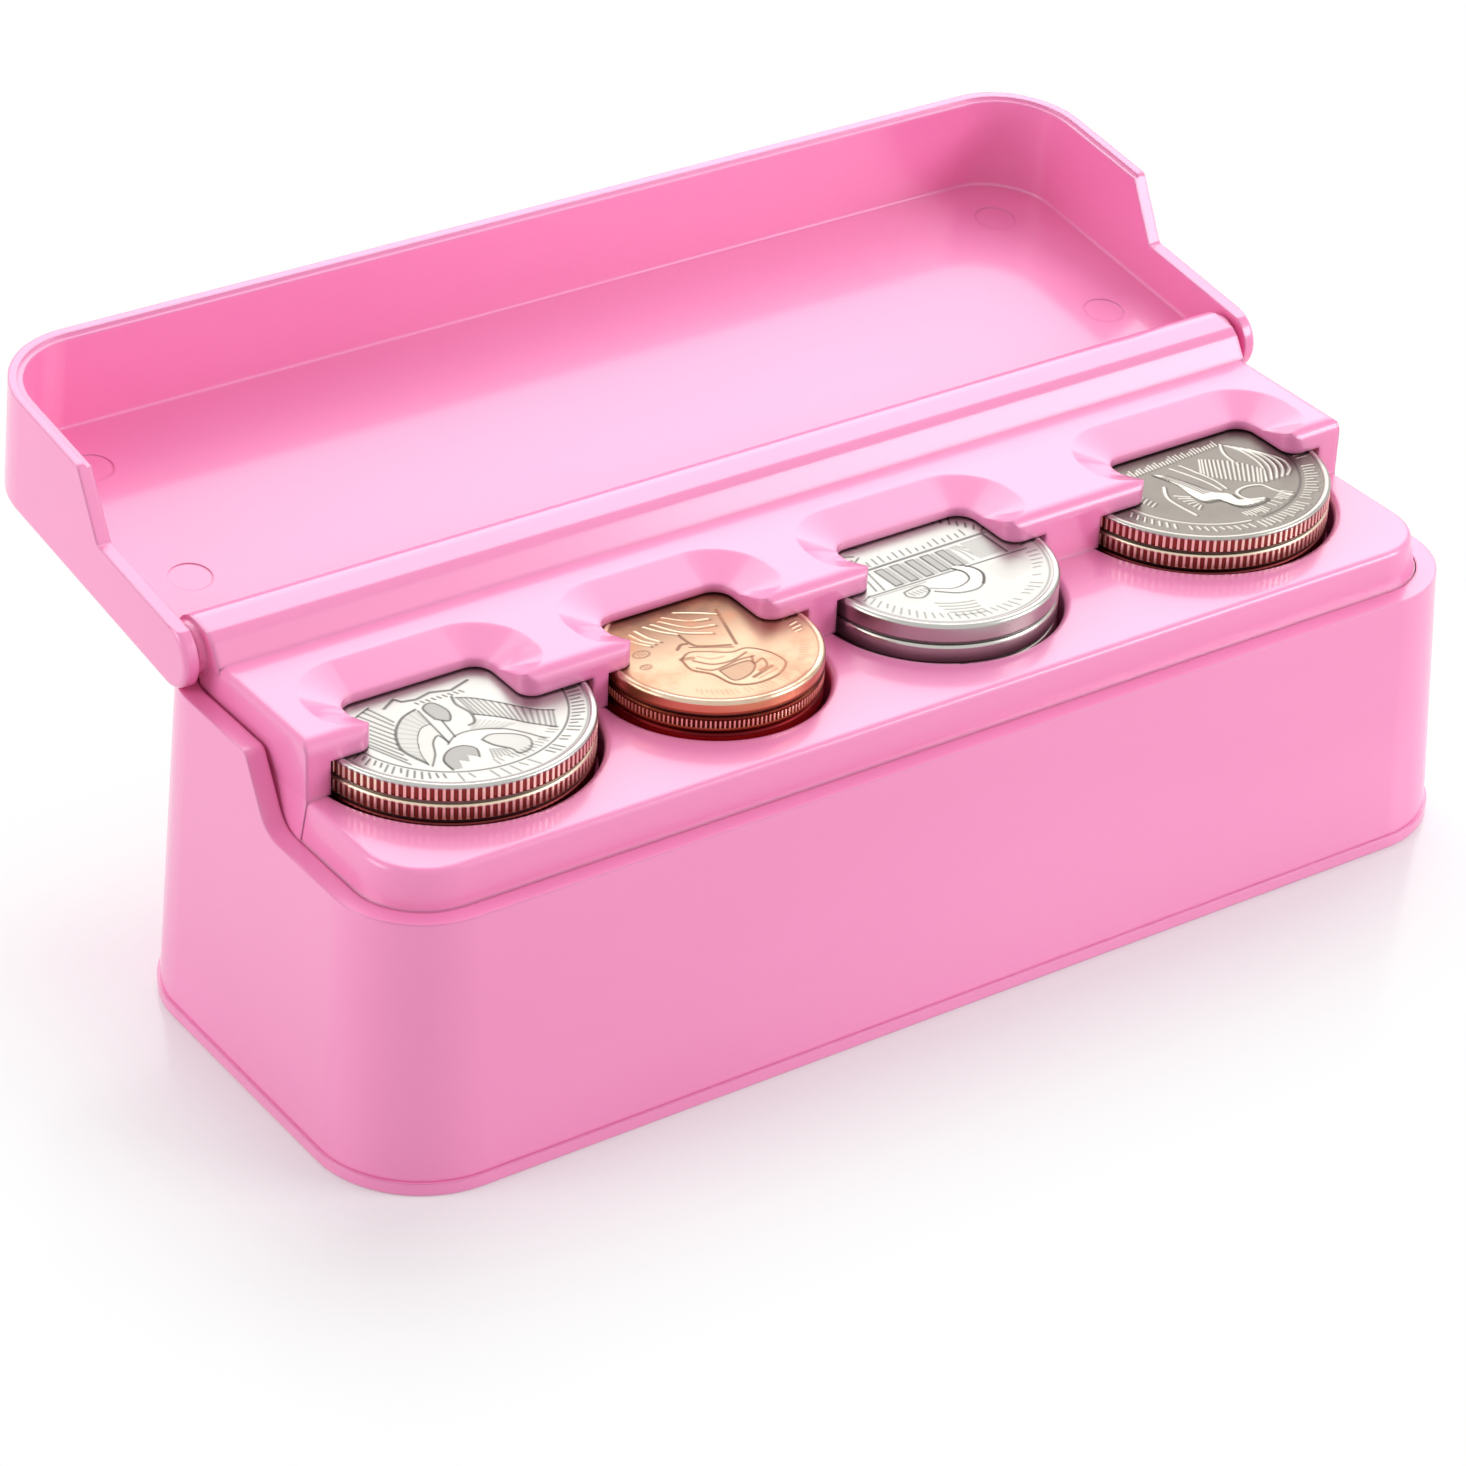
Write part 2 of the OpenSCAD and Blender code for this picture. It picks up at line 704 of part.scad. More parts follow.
// A ring and a many-pointed star, raised on the face of a coin.
module coin_relief(r, t, points) {
    star_r = r * 0.52;
    translate([0, 0, t - rim_h - 0.05]) {
        linear_extrude(relief_h + 0.05) polygon([
            for (i = [0:2 * points - 1])
                let (a = 90 + 180 * i / points, q = i % 2 == 0 ? star_r : star_r * 0.55)
                    [q * cos(a), q * sin(a)]
        ]);
        linear_extrude(relief_h + 0.05) difference() {
            circle(r * 0.7);
            circle(r * 0.66);
        }
    }
}

// Fine upright grooves round the edge.
module reeded_band(r, t) {
    translate([0, 0, edge_cut + 0.05]) linear_extrude(t - 2 * edge_cut - 0.1) polygon([
        for (i = [0:2 * reeds - 1])
            let (a = 180 * (i + 0.5) / reeds, q = i % 2 == 0 ? r : r - reed_depth)
                [q * cos(a), q * sin(a)]
    ]);
}

// One coin of a stack, number counted from the top.
module quarter(x, number) {
    color(silver) translate([x, station_y(quarter_r), coin_top_z - number * quarter_t]) {
        coin_blank(quarter_r - reed_depth + 0.02, quarter_t);
        reeded_band(quarter_r, quarter_t);
        coin_relief(quarter_r, quarter_t, 8);
    }
}

module penny(number) {
    color(copper) translate([penny_x, station_y(penny_r), coin_top_z - number * penny_t]) {
        coin_blank(penny_r, penny_t);
        coin_relief(penny_r, penny_t, 6);
    }
}

module nickel(number) {
    color(silver) translate([nickel_x, station_y(nickel_r), coin_top_z - number * nickel_t]) {
        coin_blank(nickel_r, nickel_t);
        coin_relief(nickel_r, nickel_t, 5);
    }
}

quarter_stack = 3 * quarter_t;
penny_stack = 4 * penny_t;
nickel_stack = 3 * nickel_t;

case_shell();
base_plate();
coin_tray();
lid();
hinge_pin_left();
hinge_pin_right();
follower(quarter_left_x, quarter_r, quarter_stack);  // follower_quarter_left
follower(penny_x, penny_r, penny_stack);  // follower_penny
follower(nickel_x, nickel_r, nickel_stack);  // follower_nickel
follower(quarter_right_x, quarter_r, quarter_stack);  // follower_quarter_right
spring(quarter_left_x, quarter_r, quarter_stack);  // spring_quarter_left
spring(penny_x, penny_r, penny_stack);  // spring_penny
spring(nickel_x, nickel_r, nickel_stack);  // spring_nickel
spring(quarter_right_x, quarter_r, quarter_stack);  // spring_quarter_right
quarter(quarter_left_x, 1);  // quarter_left_1
quarter(quarter_left_x, 2);  // quarter_left_2
quarter(quarter_left_x, 3);  // quarter_left_3
penny(1);  // penny_1
penny(2);  // penny_2
penny(3);  // penny_3
penny(4);  // penny_4
nickel(1);  // nickel_1
nickel(2);  // nickel_2
nickel(3);  // nickel_3
quarter(quarter_right_x, 1);  // quarter_right_1
quarter(quarter_right_x, 2);  // quarter_right_2
quarter(quarter_right_x, 3);  // quarter_right_3
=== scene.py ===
import math
import random

import bmesh
import bpy
import numpy as np
from mathutils import Matrix, Vector


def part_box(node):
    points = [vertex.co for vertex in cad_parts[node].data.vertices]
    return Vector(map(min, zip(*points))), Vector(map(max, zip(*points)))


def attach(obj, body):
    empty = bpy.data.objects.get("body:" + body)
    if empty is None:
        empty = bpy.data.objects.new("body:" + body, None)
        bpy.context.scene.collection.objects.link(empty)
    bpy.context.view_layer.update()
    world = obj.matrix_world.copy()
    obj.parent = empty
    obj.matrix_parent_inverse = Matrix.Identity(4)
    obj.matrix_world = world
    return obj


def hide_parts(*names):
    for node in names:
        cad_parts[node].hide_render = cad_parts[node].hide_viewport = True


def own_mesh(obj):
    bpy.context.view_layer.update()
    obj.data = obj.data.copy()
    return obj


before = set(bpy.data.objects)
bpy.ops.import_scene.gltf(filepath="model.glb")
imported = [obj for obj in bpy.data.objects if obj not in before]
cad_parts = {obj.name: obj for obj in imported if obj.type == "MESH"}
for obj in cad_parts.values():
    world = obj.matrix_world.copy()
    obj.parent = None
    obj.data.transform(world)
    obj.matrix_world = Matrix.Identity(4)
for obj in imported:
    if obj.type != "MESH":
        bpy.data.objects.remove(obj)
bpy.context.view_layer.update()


# ---- Camera ---------------------------------------------------------------
# A long lens on a tripod, in front of the box and to its left, tipped down
# so that the mouths of the tubes and the inside of the open lid both show.

lens_mm = 121.53
film_width_mm = 36
place = (-0.22142, -0.29246, 0.24255)
right = (0.8230, -0.5666, 0.0384)
up = (0.2717, 0.4522, 0.8495)
ahead = (0.4988, 0.6888, -0.5261)
camera = bpy.data.objects.new("camera", bpy.data.cameras.new("camera"))
camera.data.lens = lens_mm
camera.data.sensor_width = film_width_mm
camera.matrix_world = Matrix((
    *((right[i], up[i], -ahead[i], place[i]) for i in range(3)),
    (0, 0, 0, 1),
))
bpy.context.scene.collection.objects.link(camera)
bpy.context.scene.camera = camera
bpy.context.scene.view_settings.view_transform = "Standard"


# ---- Table and lamps ------------------------------------------------------
# A glossy white acrylic sheet, lit from a big softbox overhead and two smaller
# ones at the sides. Away from the box the sheet runs out to plain white.

class Wire:
    """A socket in a material, with arithmetic that adds Math nodes."""

    def __init__(self, tree, socket=None):
        self.tree = tree
        self.socket = socket

    def node(self, kind, settings=None, sockets=None, out=0):
        made = self.tree.nodes.new("ShaderNode" + kind)
        for name, value in (settings or {}).items():
            if name == "stops":
                ramp = made.color_ramp
                while len(ramp.elements) < len(value):
                    ramp.elements.new(0.5)
                for element, (place, shade) in zip(ramp.elements, value):
                    element.position = place
                    element.color = (*shade, 1)
            else:
                setattr(made, name, value)
        for name, value in (sockets or {}).items():
            if isinstance(value, Wire):
                self.tree.links.new(value.socket, made.inputs[name])
            else:
                made.inputs[name].default_value = value
        return Wire(self.tree, made.outputs[out])

    def math(self, operation, *values, clamp=False):
        return self.node("Math", {"operation": operation, "use_clamp": clamp}, dict(enumerate(values)))

    def __add__(self, other):
        return self.math("ADD", self, other)

    def __radd__(self, other):
        return self.math("ADD", other, self)

    def __sub__(self, other):
        return self.math("SUBTRACT", self, other)

    def __rsub__(self, other):
        return self.math("SUBTRACT", other, self)

    def __mul__(self, other):
        return self.math("MULTIPLY", self, other)

    def clamped(self):
        return self.math("ADD", self, 0, clamp=True)

    def between(self, low, high):
        """0 below low, 1 above high, eased."""
        return self.node("MapRange", {"interpolation_type": "SMOOTHSTEP"},
                         {"Value": self, "From Min": low, "From Max": high})

    def noise(self, scale, detail=2, rough=0.5, place=None):
        return self.node("TexNoise", {}, {"Vector": place or self.place(), "Scale": scale,
                                          "Detail": detail, "Roughness": rough})

    def place(self):
        return self.node("TexCoord", out="Object")

    def mix(self, share, first, second):
        return self.node("Mix", {"data_type": "RGBA"}, {0: share, 6: first, 7: second}, out=2)


def new_material(name):
    """An empty material: a Wire into its tree, and the output to plug a shader into."""
    made = bpy.data.materials.new(name)
    made.use_nodes = True
    made.node_tree.nodes.clear()
    wire = Wire(made.node_tree)

    def finish(surface):
        target = made.node_tree.nodes.new("ShaderNodeOutputMaterial")
        made.node_tree.links.new(surface.socket, target.inputs["Surface"])
        return made

    return wire, finish


table_size = 1.6
foot_half_length, foot_half_depth = 0.058, 0.022
inside_foot, clear_of_foot = -0.012, 0.03
table_mesh = bpy.data.meshes.new("table")
half = table_size / 2
corners = [(-half, -half, 0), (half, -half, 0), (half, half, 0), (-half, half, 0)]
table_mesh.from_pydata(corners, [], [(0, 1, 2, 3)])
table = bpy.data.objects.new("table", table_mesh)
bpy.context.scene.collection.objects.link(table)

wire, finish = new_material("white_acrylic")
seen = wire.node("LightPath", out="Is Camera Ray")
mirrored = wire.node("LightPath", out="Is Glossy Ray")
through = wire.node("LightPath", out="Is Transmission Ray")
looked_at = (seen + mirrored + through).clamped()
spot = wire.node("VectorMath", {"operation": "ABSOLUTE"}, {0: wire.place()})
foot = (foot_half_length, foot_half_depth, 0)
beyond = wire.node("VectorMath", {"operation": "SUBTRACT"}, {0: spot, 1: foot})
outside = wire.node("VectorMath", {"operation": "MAXIMUM"}, {0: beyond, 1: (0, 0, 0)})
distance = wire.node("VectorMath", {"operation": "LENGTH"}, {0: outside}, out="Value")
speckle = wire.noise(900, 3)
acrylic = wire.node("BsdfPrincipled", {}, {
    "Base Color": wire.mix(speckle, (0.86, 0.86, 0.87, 1), (0.88, 0.88, 0.885, 1)),
    "Roughness": speckle * 0.05 + 0.12,
    "IOR": 1.45,
})
glow = wire.node("Emission", {}, {"Color": (1, 1, 1, 1), "Strength": 1.0})
table_mesh.materials.append(finish(wire.node("MixShader", {}, {
    0: distance.between(inside_foot, clear_of_foot) * looked_at,
    1: acrylic,
    2: glow,
})))

room_light = 0.56
world = bpy.data.worlds.new("studio")
world.use_nodes = True
bpy.context.scene.world = world
sky = Wire(world.node_tree)
world.node_tree.nodes.clear()
seen = sky.node("LightPath", out="Is Camera Ray")
mirrored = sky.node("LightPath", out="Is Glossy Ray")
through = sky.node("LightPath", out="Is Transmission Ray")
looked_at = (seen + mirrored + through).clamped()
strength = looked_at * (1 - room_light) + room_light
room = sky.node("Background", {}, {"Color": (1, 1, 1, 1), "Strength": strength})
room_out = world.node_tree.nodes.new("ShaderNodeOutputWorld")
world.node_tree.links.new(room.socket, room_out.inputs["Surface"])


def softbox(name, place, aim, width, depth, power):
    lamp = bpy.data.lights.new(name, "AREA")
    lamp.shape = "RECTANGLE"
    lamp.size = width
    lamp.size_y = depth
    lamp.energy = power
    stand = bpy.data.objects.new(name, lamp)
    stand.location = place
    stand.rotation_euler = (Vector(aim) - Vector(place)).to_track_quat("-Z", "Y").to_euler()
    bpy.context.scene.collection.objects.link(stand)


softbox("softbox_overhead", (0.42, 0.54, 0.62), (0, 0.01, 0.03), 0.95, 0.80, 4.7)
softbox("softbox_left", (-0.72, 0.22, 0.32), (0, 0, 0.02), 0.45, 0.45, 2.1)
softbox("softbox_right", (0.70, -0.62, 0.42), (0, 0, 0.02), 0.50, 0.40, 4.4)


# ---- Case and base --------------------------------------------------------
# The box itself is one shell of glossy dyed plastic, moulded with leaning walls,
# and a separate plate closes its foot. Both come out of polished moulds, so the
# colour runs a little uneven and the gloss is broken only by faint flow marks.

def moulded_plastic(name, shade, gloss, edge):
    wire, finish = new_material(name)
    place = wire.place()
    flow_place = wire.node("VectorMath", {"operation": "MULTIPLY"}, {0: place, 1: (0.35, 1.0, 1.6)})
    flow = wire.noise(38, 3, 0.55, flow_place)
    cloud = wire.noise(12, 2, 0.5, place)
    grain = wire.noise(2600, 2, 0.6, place)
    deep = tuple(part * 0.93 for part in shade)
    pale = tuple(min(1, part * 1.03 + 0.012) for part in shade)
    colour = wire.mix((cloud * 0.7 + flow * 0.3).between(0.32, 0.68), (*deep, 1), (*pale, 1))
    eased = wire.node("Bevel", {"samples": 6}, {"Radius": edge})
    fine = wire.node("Bump", {}, {"Height": grain, "Distance": 0.0000025, "Strength": 0.6, "Normal": eased})
    waves = wire.node("Bump", {}, {"Height": flow, "Distance": 0.00005, "Strength": 0.35, "Normal": fine})
    return finish(wire.node("BsdfPrincipled", {}, {
        "Base Color": colour,
        "Roughness": gloss + (grain - 0.5) * 0.05 + (flow - 0.5) * 0.06,
        "IOR": 1.52,
        "Specular IOR Level": 0.7,
        "Coat Weight": 0.8,
        "Coat Roughness": 0.12,
        "Normal": waves,
    }))


def paint(node, material):
    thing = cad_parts[node]
    if not thing.material_slots:
        thing.data.materials.append(material)
    for slot in thing.material_slots:
        slot.material = material


candy_pink = (0.985, 0.262, 0.55)
polished = 0.36
case_edge = 0.0004
pink_plastic = moulded_plastic("pink_plastic", candy_pink, polished, case_edge)
paint("case_shell", pink_plastic)
paint("base_plate", pink_plastic)


# ---- Coin tray ------------------------------------------------------------
# One moulding pressed into the case: the deck in front, the block with its
# notched lip behind, and the four tubes under them.

tray_edge = 0.0007
paint("coin_tray", moulded_plastic("pink_tray_plastic", candy_pink, polished, tray_edge))


# ---- Lid ------------------------------------------------------------------
# A shallow tray with a deep front wall, moulded in the same plastic. It turns
# on two studs pressed into its ears.

paint("lid", pink_plastic)
paint("hinge_pin_left", pink_plastic)
paint("hinge_pin_right", pink_plastic)


# ---- Followers ------------------------------------------------------------
# Cups that slide in the tubes and carry the coins, in a deeper pink with a
# slightly duller finish.

deep_pink = (0.86, 0.16, 0.40)
duller = 0.38
follower_edge = 0.0002
follower_plastic = moulded_plastic("follower_plastic", deep_pink, duller, follower_edge)
stations = ("quarter_left", "penny", "nickel", "quarter_right")
for station in stations:
    paint("follower_" + station, follower_plastic)


# ---- Springs --------------------------------------------------------------
# Wound from drawn steel wire, with the last turn at each end closed down flat
# so that it stands on the base and carries the follower evenly.

wire, finish = new_material("spring_steel")
along_wire = wire.noise(1800, 3, 0.6)
spring_steel = finish(wire.node("BsdfPrincipled", {}, {
    "Base Color": wire.mix(along_wire, (0.50, 0.50, 0.52, 1), (0.66, 0.66, 0.68, 1)),
    "Metallic": 1.0,
    "Roughness": along_wire * 0.16 + 0.22,
}))

wire_radius = 0.00035
closed_turn = 2.12 * wire_radius
coil_turns = 8
steps_a_turn = 40
wire_sides = 10


def wind_spring(station):
    low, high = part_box("spring_" + station)
    mid = (low + high) / 2
    coil_radius = (high.x - low.x) / 2 - wire_radius
    height = high.z - low.z - 2 * wire_radius
    pitch = (height - 2 * closed_turn) / (coil_turns - 2)
    points = []
    for step in range(coil_turns * steps_a_turn + 1):
        turn = step / steps_a_turn
        if turn < 1:
            rise = closed_turn * turn
        elif turn > coil_turns - 1:
            rise = height - closed_turn * (coil_turns - turn)
        else:
            rise = closed_turn + pitch * (turn - 1)
        angle = 2 * math.pi * turn
        across, along = coil_radius * math.cos(angle), coil_radius * math.sin(angle)
        points.append(Vector((mid.x + across, mid.y + along, low.z + wire_radius + rise)))
    shape = bmesh.new()
    rings = []
    for i, point in enumerate(points):
        ahead_way = (points[min(i + 1, len(points) - 1)] - points[max(i - 1, 0)]).normalized()
        outward = Vector((point.x - mid.x, point.y - mid.y, 0)).normalized()
        upward = ahead_way.cross(outward).normalized()
        outward = upward.cross(ahead_way)
        rings.append([
            shape.verts.new(point + wire_radius * (math.cos(a) * outward + math.sin(a) * upward))
            for a in (2 * math.pi * k / wire_sides for k in range(wire_sides))
        ])
    for one, two in zip(rings, rings[1:]):
        for k in range(wire_sides):
            after = (k + 1) % wire_sides
            shape.faces.new((one[k], one[after], two[after], two[k])).smooth = True
    shape.faces.new(reversed(rings[0]))
    shape.faces.new(rings[-1])
    bmesh.ops.recalc_face_normals(shape, faces=shape.faces)
    mesh = bpy.data.meshes.new("coil_" + station)
    shape.to_mesh(mesh)
    shape.free()
    mesh.materials.append(spring_steel)
    coil = bpy.data.objects.new("coil_" + station, mesh)
    bpy.context.scene.collection.objects.link(coil)
    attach(coil, "case")
    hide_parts("spring_" + station)
    station + "_press"
    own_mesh(coil)


for station in stations:
    wind_spring(station)


# ---- Coin dies ------------------------------------------------------------
# How a coin's face is drawn: fine dark lines, raised strokes, flat patches and
# hatching, kept as a height and a tone for every point of the face. The pictures
# are plain sprays, fans and bars, with rings of strokes and no lettering.

soft = 0.11
line_cut = 0.3
shadow_right, shadow_front, shadow_ink = 0.11, 0.16, 0.5
left_out = 0.12
lean = 0.2


def bend(*points, steps=6):
    """A smooth path through a few points."""
    path = []
    ends = (points[0], *points, points[-1])
    for a, b, c, d in zip(ends, ends[1:], ends[2:], ends[3:]):
        for t in (k / steps for k in range(steps)):
            path.append(tuple(
                b[i] + t * (c[i] - a[i]) / 2 + t ** 2 * (a[i] - 2.5 * b[i] + 2 * c[i] - d[i] / 2)
                + t ** 3 * (1.5 * (b[i] - c[i]) + (d[i] - a[i]) / 2)
                for i in (0, 1)
            ))
    return path + [points[-1]]


def spot_on(path, share):
    place = share * (len(path) - 1)
    one = min(int(place), len(path) - 2)
    return tuple(path[one][i] + (place - one) * (path[one + 1][i] - path[one][i]) for i in (0, 1))


def round_spot(radius, degrees):
    return radius * math.cos(math.radians(degrees)), radius * math.sin(math.radians(degrees))


class Die:
    """A coin's face while it is being cut, in millimetres from the coin's middle."""

    def __init__(self, x, y):
        self.x, self.y = x, y
        self.high = np.zeros_like(x)
        self.tone = np.full_like(x, 0.5)

    def around(self, path, reach):
        xs, ys = zip(*path)
        return np.nonzero((self.x > min(xs) - reach) & (self.x < max(xs) + reach)
                          & (self.y > min(ys) - reach) & (self.y < max(ys) + reach))[0]

    def near(self, path, reach):
        """The points near a path, and how far from it each one lies."""
        chosen = self.around(path, reach)
        x, y = self.x[chosen], self.y[chosen]
        away = np.full(len(chosen), reach + 1.0)
        for (ax, ay), (bx, by) in zip(path, path[1:]):
            dx, dy = bx - ax, by - ay
            share = np.clip(((x - ax) * dx + (y - ay) * dy) / (dx * dx + dy * dy + 1e-9), 0, 1)
            away = np.minimum(away, np.hypot(x - ax - share * dx, y - ay - share * dy))
        return chosen, away

    def line(self, path, width=0.08, ink=0.78):
        """A fine dark line cut into the face."""
        chosen, away = self.near(path, width + soft)
        dark = ink * np.clip((width / 2 + soft - away) / soft, 0, 1)
        self.tone[chosen] *= 1 - dark
        self.high[chosen] -= line_cut * dark

    def ridge(self, path, width=0.1, lift=0.8):
        """A raised stroke, with a painted highlight along its top and a painted shadow along one foot."""
        self.line([(a + shadow_right, b - shadow_front) for a, b in path], width, shadow_ink)
        chosen, away = self.near(path, width + soft)
        top = np.clip((width / 2 + soft - away) / soft, 0, 1)
        self.tone[chosen] += (1 - self.tone[chosen]) * top
        self.high[chosen] = np.maximum(self.high[chosen], lift * top)

    def patch(self, path, tone, lift=0.35):
        """A flat shape inside a closed outline."""
        chosen = self.around(path, 0)
        x, y = self.x[chosen], self.y[chosen]
        inside = np.zeros(len(chosen), dtype=bool)
        for (ax, ay), (bx, by) in zip(path, path[1:] + path[:1]):
            inside ^= ((ay > y) != (by > y)) & (x < (bx - ax) * (y - ay) / (by - ay + 1e-9) + ax)
        self.tone[chosen[inside]] = tone
        self.high[chosen[inside]] += lift

    def hatch(self, first, second, count, stroke, **kind):
        """Strokes from one path to another, spread evenly."""
        for k in range(count):
            share = (k + 0.5) / count
            stroke([spot_on(first, share), spot_on(second, share)], **kind)

    def marks(self, inner, outer, first, last, count, stroke, seed, **kind):
        """Strokes across a ring, all leaning one way, some shorter and some left out."""
        dice = random.Random(seed)
        turn = (last - first) / count
        for k in range(count):
            at = first + turn * (k + 0.5)
            short = dice.choice((0, 0, 0.2, 0.4)) * (outer - inner)
            if dice.random() > left_out:
                foot = round_spot(inner, at - lean * turn)
                tip = round_spot(outer - short, at + lean * turn)
                stroke([foot, tip], **kind)


def ring(radius, first=0, last=360):
    return [round_spot(radius, first + (last - first) * k / 90) for k in range(91)]


# ---- Large coins ----------------------------------------------------------
# Struck from cupronickel over a copper core: a raised rim, two rings with marks
# between them, a picture in low relief, and a reeded edge that shows the red core,
# with painted shade in its grooves and a painted highlight on its ridges.
# The lowest coin's edge carries painted shade: a darker copy of the edge metal for
# the coin deep in the tube. A coin with another on it has no picture, and the metal
# of its edge runs on over the rounded rim.

def fans_picture(die):
    """Fans of rays and a hatched band over a shaded dome."""
    rays_top = bend((-5.6, 3.4), (-7.5, 2.5), (-8.9, 1.6), (-9.6, 0.2))
    rays_foot = bend((-4.9, 0.6), (-5.9, -1.2), (-6.8, -3.6), (-7.2, -6.0))
    die.hatch(rays_top, rays_foot, 10, die.line)
    die.line(rays_top)
    outer = bend((-2.5, 1.2), (-4.1, 0.6), (-5.6, -0.9), (-6.5, -2.8), (-6.6, -4.2), (-5.9, -6.5))
    inner = bend((-2.6, -1.4), (-3.6, -1.6), (-4.7, -2.9), (-5.6, -4.9), (-5.9, -6.5))
    die.patch(outer + inner[::-1], 0.42)
    die.hatch(outer, inner, 13, die.line, ink=0.2)
    die.line(outer, 0.16)
    die.line(inner)
    fold = bend((-2.8, -4.4), (-3.0, -3.2), (-3.9, -3.9), (-4.7, -5.5), (-5.8, -6.9))
    die.patch(inner + fold[::-1], 0.46, 0.2)
    die.line(fold)
    die.line([(-2.4, 0.9), (-2.8, -4.5)])
    die.line([(-1.5, -1.2), (-1.9, -4.0)])
    oval = bend((-1.9, -0.9), (-1.9, 1.0), (-0.8, 1.4), (-0.3, -0.3), (-1.0, -1.7), (-1.9, -0.9))
    die.patch(oval, 0.30)
    die.line(oval)
    die.line(bend((1.1, 1.4), (0.8, 0.2), (1.1, -1.5), (0.7, -2.8), (0.0, -3.1)), 0.16)
    band_top = bend((1.3, 1.1), (2.5, 0.3), (4.1, -1.5), (5.8, -3.6), (7.2, -4.6))
    band_foot = bend((1.2, -1.8), (2.9, -3.4), (4.4, -5.3), (6.0, -7.0))
    die.hatch(band_top, band_foot, 16, die.line, ink=0.6)
    die.line(band_top)
    die.line(band_foot)
    die.hatch(bend((0.9, -2.6), (2.2, -3.6), (3.4, -4.8)), bend((-0.2, -3.6), (0.8, -4.2), (1.8, -4.9)), 9,
              die.line, ink=0.3)
    die.line(bend((-3.0, -4.7), (-1.8, -3.9), (-0.1, -3.9), (2.0, -4.9), (3.3, -6.4), (4.2, -8.0)))
    dome = bend((-4.7, -8.2), (-4.6, -6.6), (-3.4, -5.5), (-2.1, -5.5), (-1.4, -6.4), (-1.8, -7.6))
    die.patch(dome + [(-2.5, -6.9), (-2.9, -7.8), (-3.5, -7.2), (-3.9, -8.4)], 0.28, 0.6)
    die.line(dome)
    stone = bend((-0.3, -5.5), (0.8, -5.2), (2.5, -6.2), (3.1, -7.4), (2.4, -8.6), (1.2, -8.8), (1.0, -7.9),
                 (0.1, -6.7), (-0.3, -5.5))
    die.patch(stone, 0.44)
    die.line(stone)
    die.hatch([(-1.1, -8.3), (0.9, -8.6)], [(-0.6, -7.0), (0.7, -7.6)], 6, die.line, ink=0.5)
    die.marks(8.6, 9.4, 262, 312, 17, die.line, 4, ink=0.5)
    die.line([(-4.6, 2.6), (-3.2, 3.5), (-2.8, 2.8), (-1.6, 2.5), (-0.1, 2.9), (1.6, 2.3), (3.6, 3.0)], 0.18)
    die.hatch([(-2.2, 2.1), (2.4, 1.9)], [(-2.1, 1.8), (2.6, 1.5)], 9, die.line)
    die.line(ring(9.75, 150, 372))
    die.line(ring(11.35), ink=0.5)
    die.marks(10.05, 11.0, 182, 238, 17, die.line, 3)
    die.marks(10.05, 11.1, 241, 286, 9, die.line, 8, ink=0.6)
    die.marks(10.05, 11.0, 288, 360, 24, die.line, 5)
    die.marks(10.05, 11.0, 0, 180, 50, die.line, 6)


